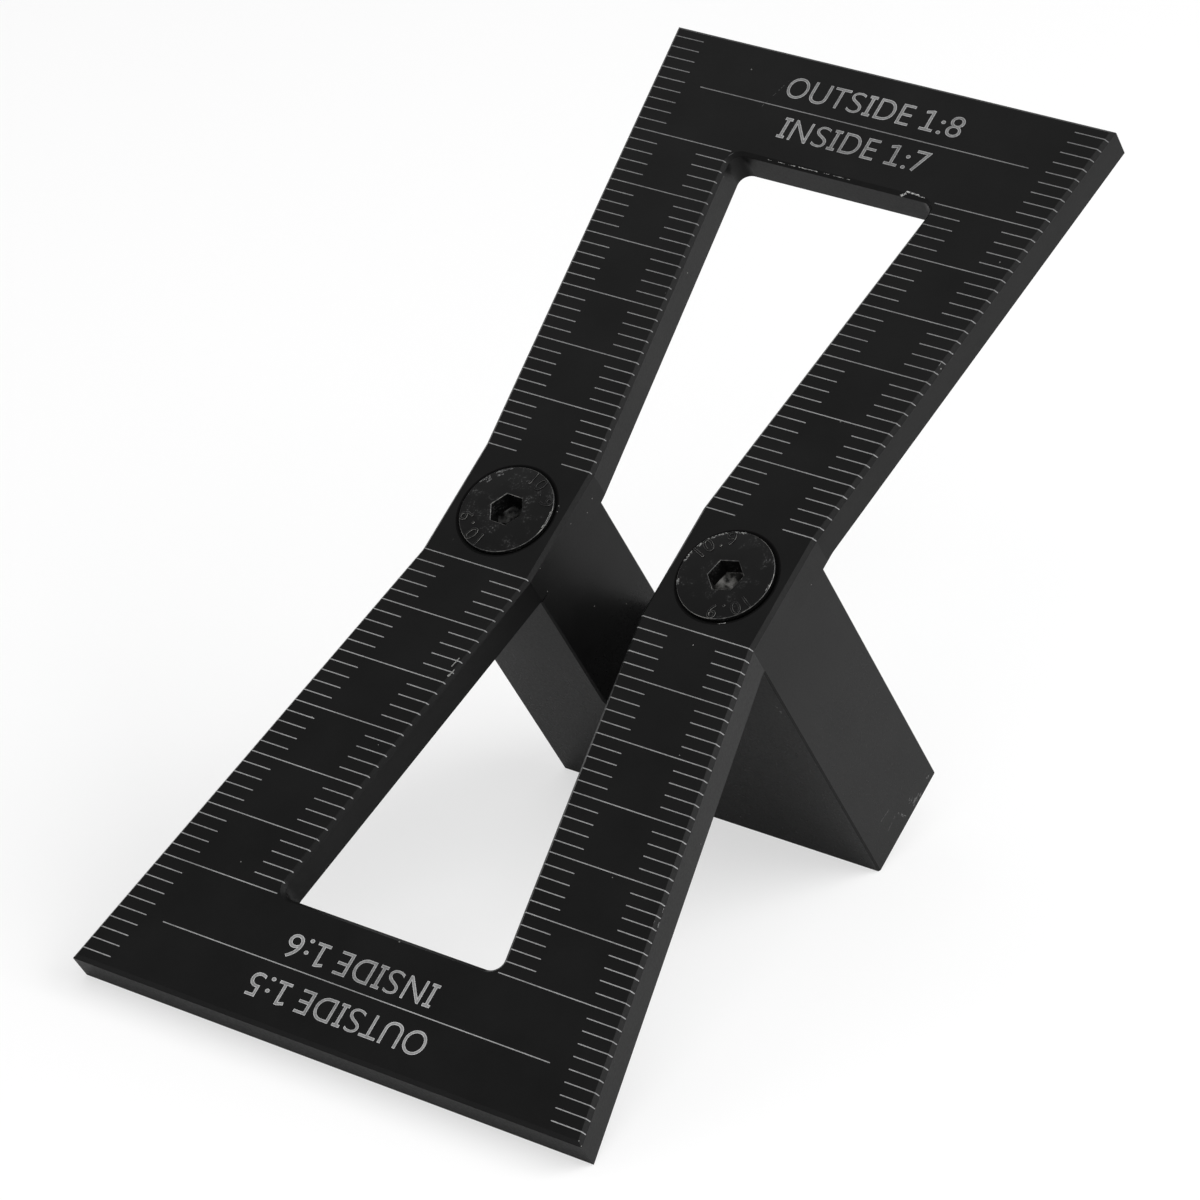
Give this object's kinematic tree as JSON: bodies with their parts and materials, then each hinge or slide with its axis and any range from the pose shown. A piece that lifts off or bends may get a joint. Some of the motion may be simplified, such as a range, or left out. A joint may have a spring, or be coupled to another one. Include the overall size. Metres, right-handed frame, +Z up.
{
  "type": "dovetail marker",
  "caption": "Hourglass dovetail marking gauge with a graduated, windowed plate screwed to a slotted stock block.",
  "frame": {"origin": "middle of the marker's footprint on the bench, at bench height", "axes": "+Z up, +X across the marking plate to the right as its upper end is read, +Y to the back, the way the plate's upper end leans"},
  "size_m": [0.046, 0.0738, 0.0557],
  "materials": {
    "plate": "satin",
    "stock": "satin",
    "screws": "satin"
  },
  "bodies": {
    "root": {"marking_plate": "plate", "stock_block": "stock", "stock_screws": "screws"}
  },
  "joints": []
}
